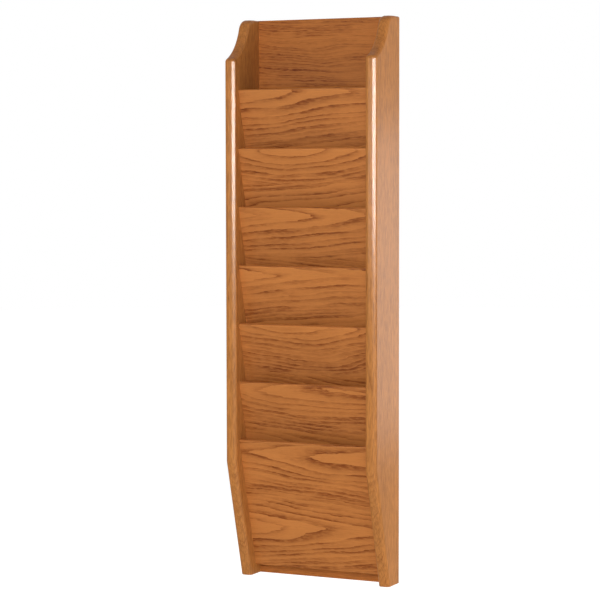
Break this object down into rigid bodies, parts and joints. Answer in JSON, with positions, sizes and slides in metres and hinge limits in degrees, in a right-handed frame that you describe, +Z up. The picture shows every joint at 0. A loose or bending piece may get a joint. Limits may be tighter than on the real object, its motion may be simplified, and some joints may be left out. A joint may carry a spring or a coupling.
{
  "type": "cascade magazine rack",
  "caption": "Tall wall-hung oak magazine rack: leaning pocket boards stepped one above the other between shaped side panels, over a thin back panel.",
  "frame": {"origin": "centre of the rack's back, on the rear face of the back panel, in the plane of the wall", "axes": "+X to the right of someone who faces the rack, +Y into the wall, +Z up"},
  "size_m": [0.2666, 0.0953, 0.9144],
  "materials": {
    "oak_upright": "satin lacquer, upright grain",
    "oak_level": "satin lacquer, level grain",
    "oak_strip": "bare oak strip",
    "zinc_steel": "zinc-plated steel"
  },
  "bodies": {
    "root": {"left_side_panel": "oak_upright", "right_side_panel": "oak_upright", "pocket_board_1": "oak_level", "pocket_board_2": "oak_level", "pocket_board_3": "oak_level", "pocket_board_4": "oak_level", "pocket_board_5": "oak_level", "pocket_board_6": "oak_level", "pocket_board_7": "oak_level", "pocket_floor_1": "oak_strip", "pocket_floor_2": "oak_strip", "pocket_floor_3": "oak_strip", "pocket_floor_4": "oak_strip", "pocket_floor_5": "oak_strip", "pocket_floor_6": "oak_strip", "pocket_floor_7": "oak_strip", "back_panel": "oak_level", "hanger_plate_left": "zinc_steel", "hanger_plate_right": "zinc_steel", "hanger_screw_left_upper": "zinc_steel", "hanger_screw_left_lower": "zinc_steel", "hanger_screw_right_upper": "zinc_steel", "hanger_screw_right_lower": "zinc_steel", "panel_brad_left_1": "zinc_steel", "panel_brad_left_2": "zinc_steel", "panel_brad_left_3": "zinc_steel", "panel_brad_left_4": "zinc_steel", "panel_brad_left_5": "zinc_steel", "panel_brad_right_1": "zinc_steel", "panel_brad_right_2": "zinc_steel", "panel_brad_right_3": "zinc_steel", "panel_brad_right_4": "zinc_steel", "panel_brad_right_5": "zinc_steel", "floor_brad_1_left": "zinc_steel", "floor_brad_1_right": "zinc_steel", "floor_brad_2_left": "zinc_steel", "floor_brad_2_right": "zinc_steel", "floor_brad_3_left": "zinc_steel", "floor_brad_3_right": "zinc_steel", "floor_brad_4_left": "zinc_steel", "floor_brad_4_right": "zinc_steel", "floor_brad_5_left": "zinc_steel", "floor_brad_5_right": "zinc_steel", "floor_brad_6_left": "zinc_steel", "floor_brad_6_right": "zinc_steel", "floor_brad_7_left": "zinc_steel", "floor_brad_7_right": "zinc_steel"}
  },
  "joints": []
}
